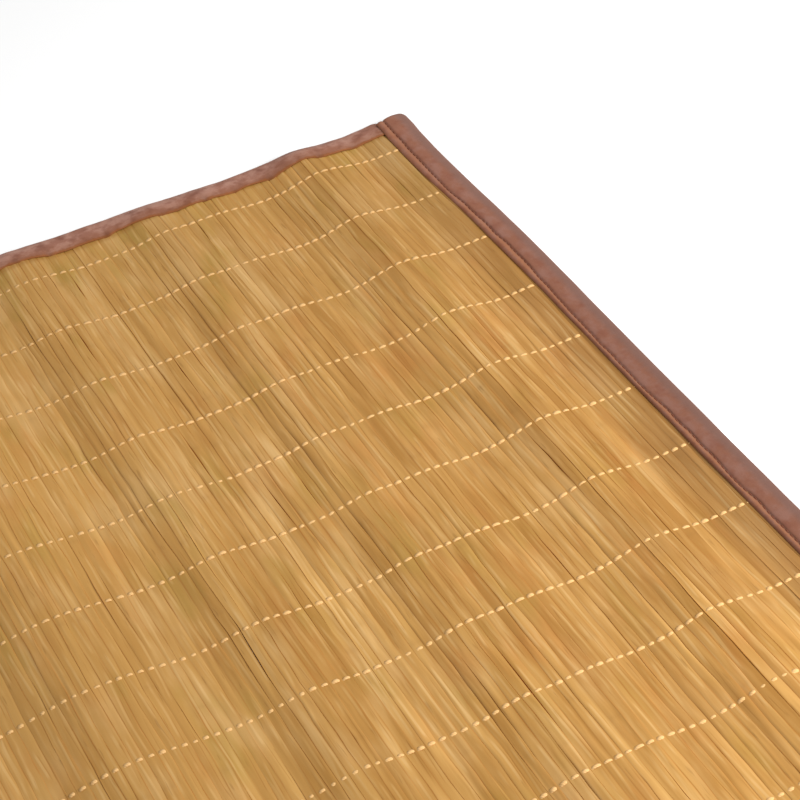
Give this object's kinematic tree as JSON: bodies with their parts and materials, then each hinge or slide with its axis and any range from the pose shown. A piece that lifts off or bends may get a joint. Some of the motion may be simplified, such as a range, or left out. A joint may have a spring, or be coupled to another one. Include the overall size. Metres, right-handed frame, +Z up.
{
  "type": "bamboo slat rug",
  "caption": "Flat flexible rug of narrow bamboo slats laid side by side, bound along all four edges with folded cloth tape and lying in shallow uneven waves.",
  "frame": {"origin": "middle of the rug, on the surface that it lies on", "axes": "+X across the slats, along the rug's long side; +Y along the slats; +Z up"},
  "size_m": [0.9, 0.6, 0.0112],
  "materials": {
    "bamboo": "satin, lengthwise grain",
    "binding": "matte woven cloth tape"
  },
  "bodies": {
    "root": {"slat_panel": "bamboo", "end_binding_back": "binding", "end_binding_front": "binding", "side_binding_right": "binding", "side_binding_left": "binding"}
  },
  "joints": []
}
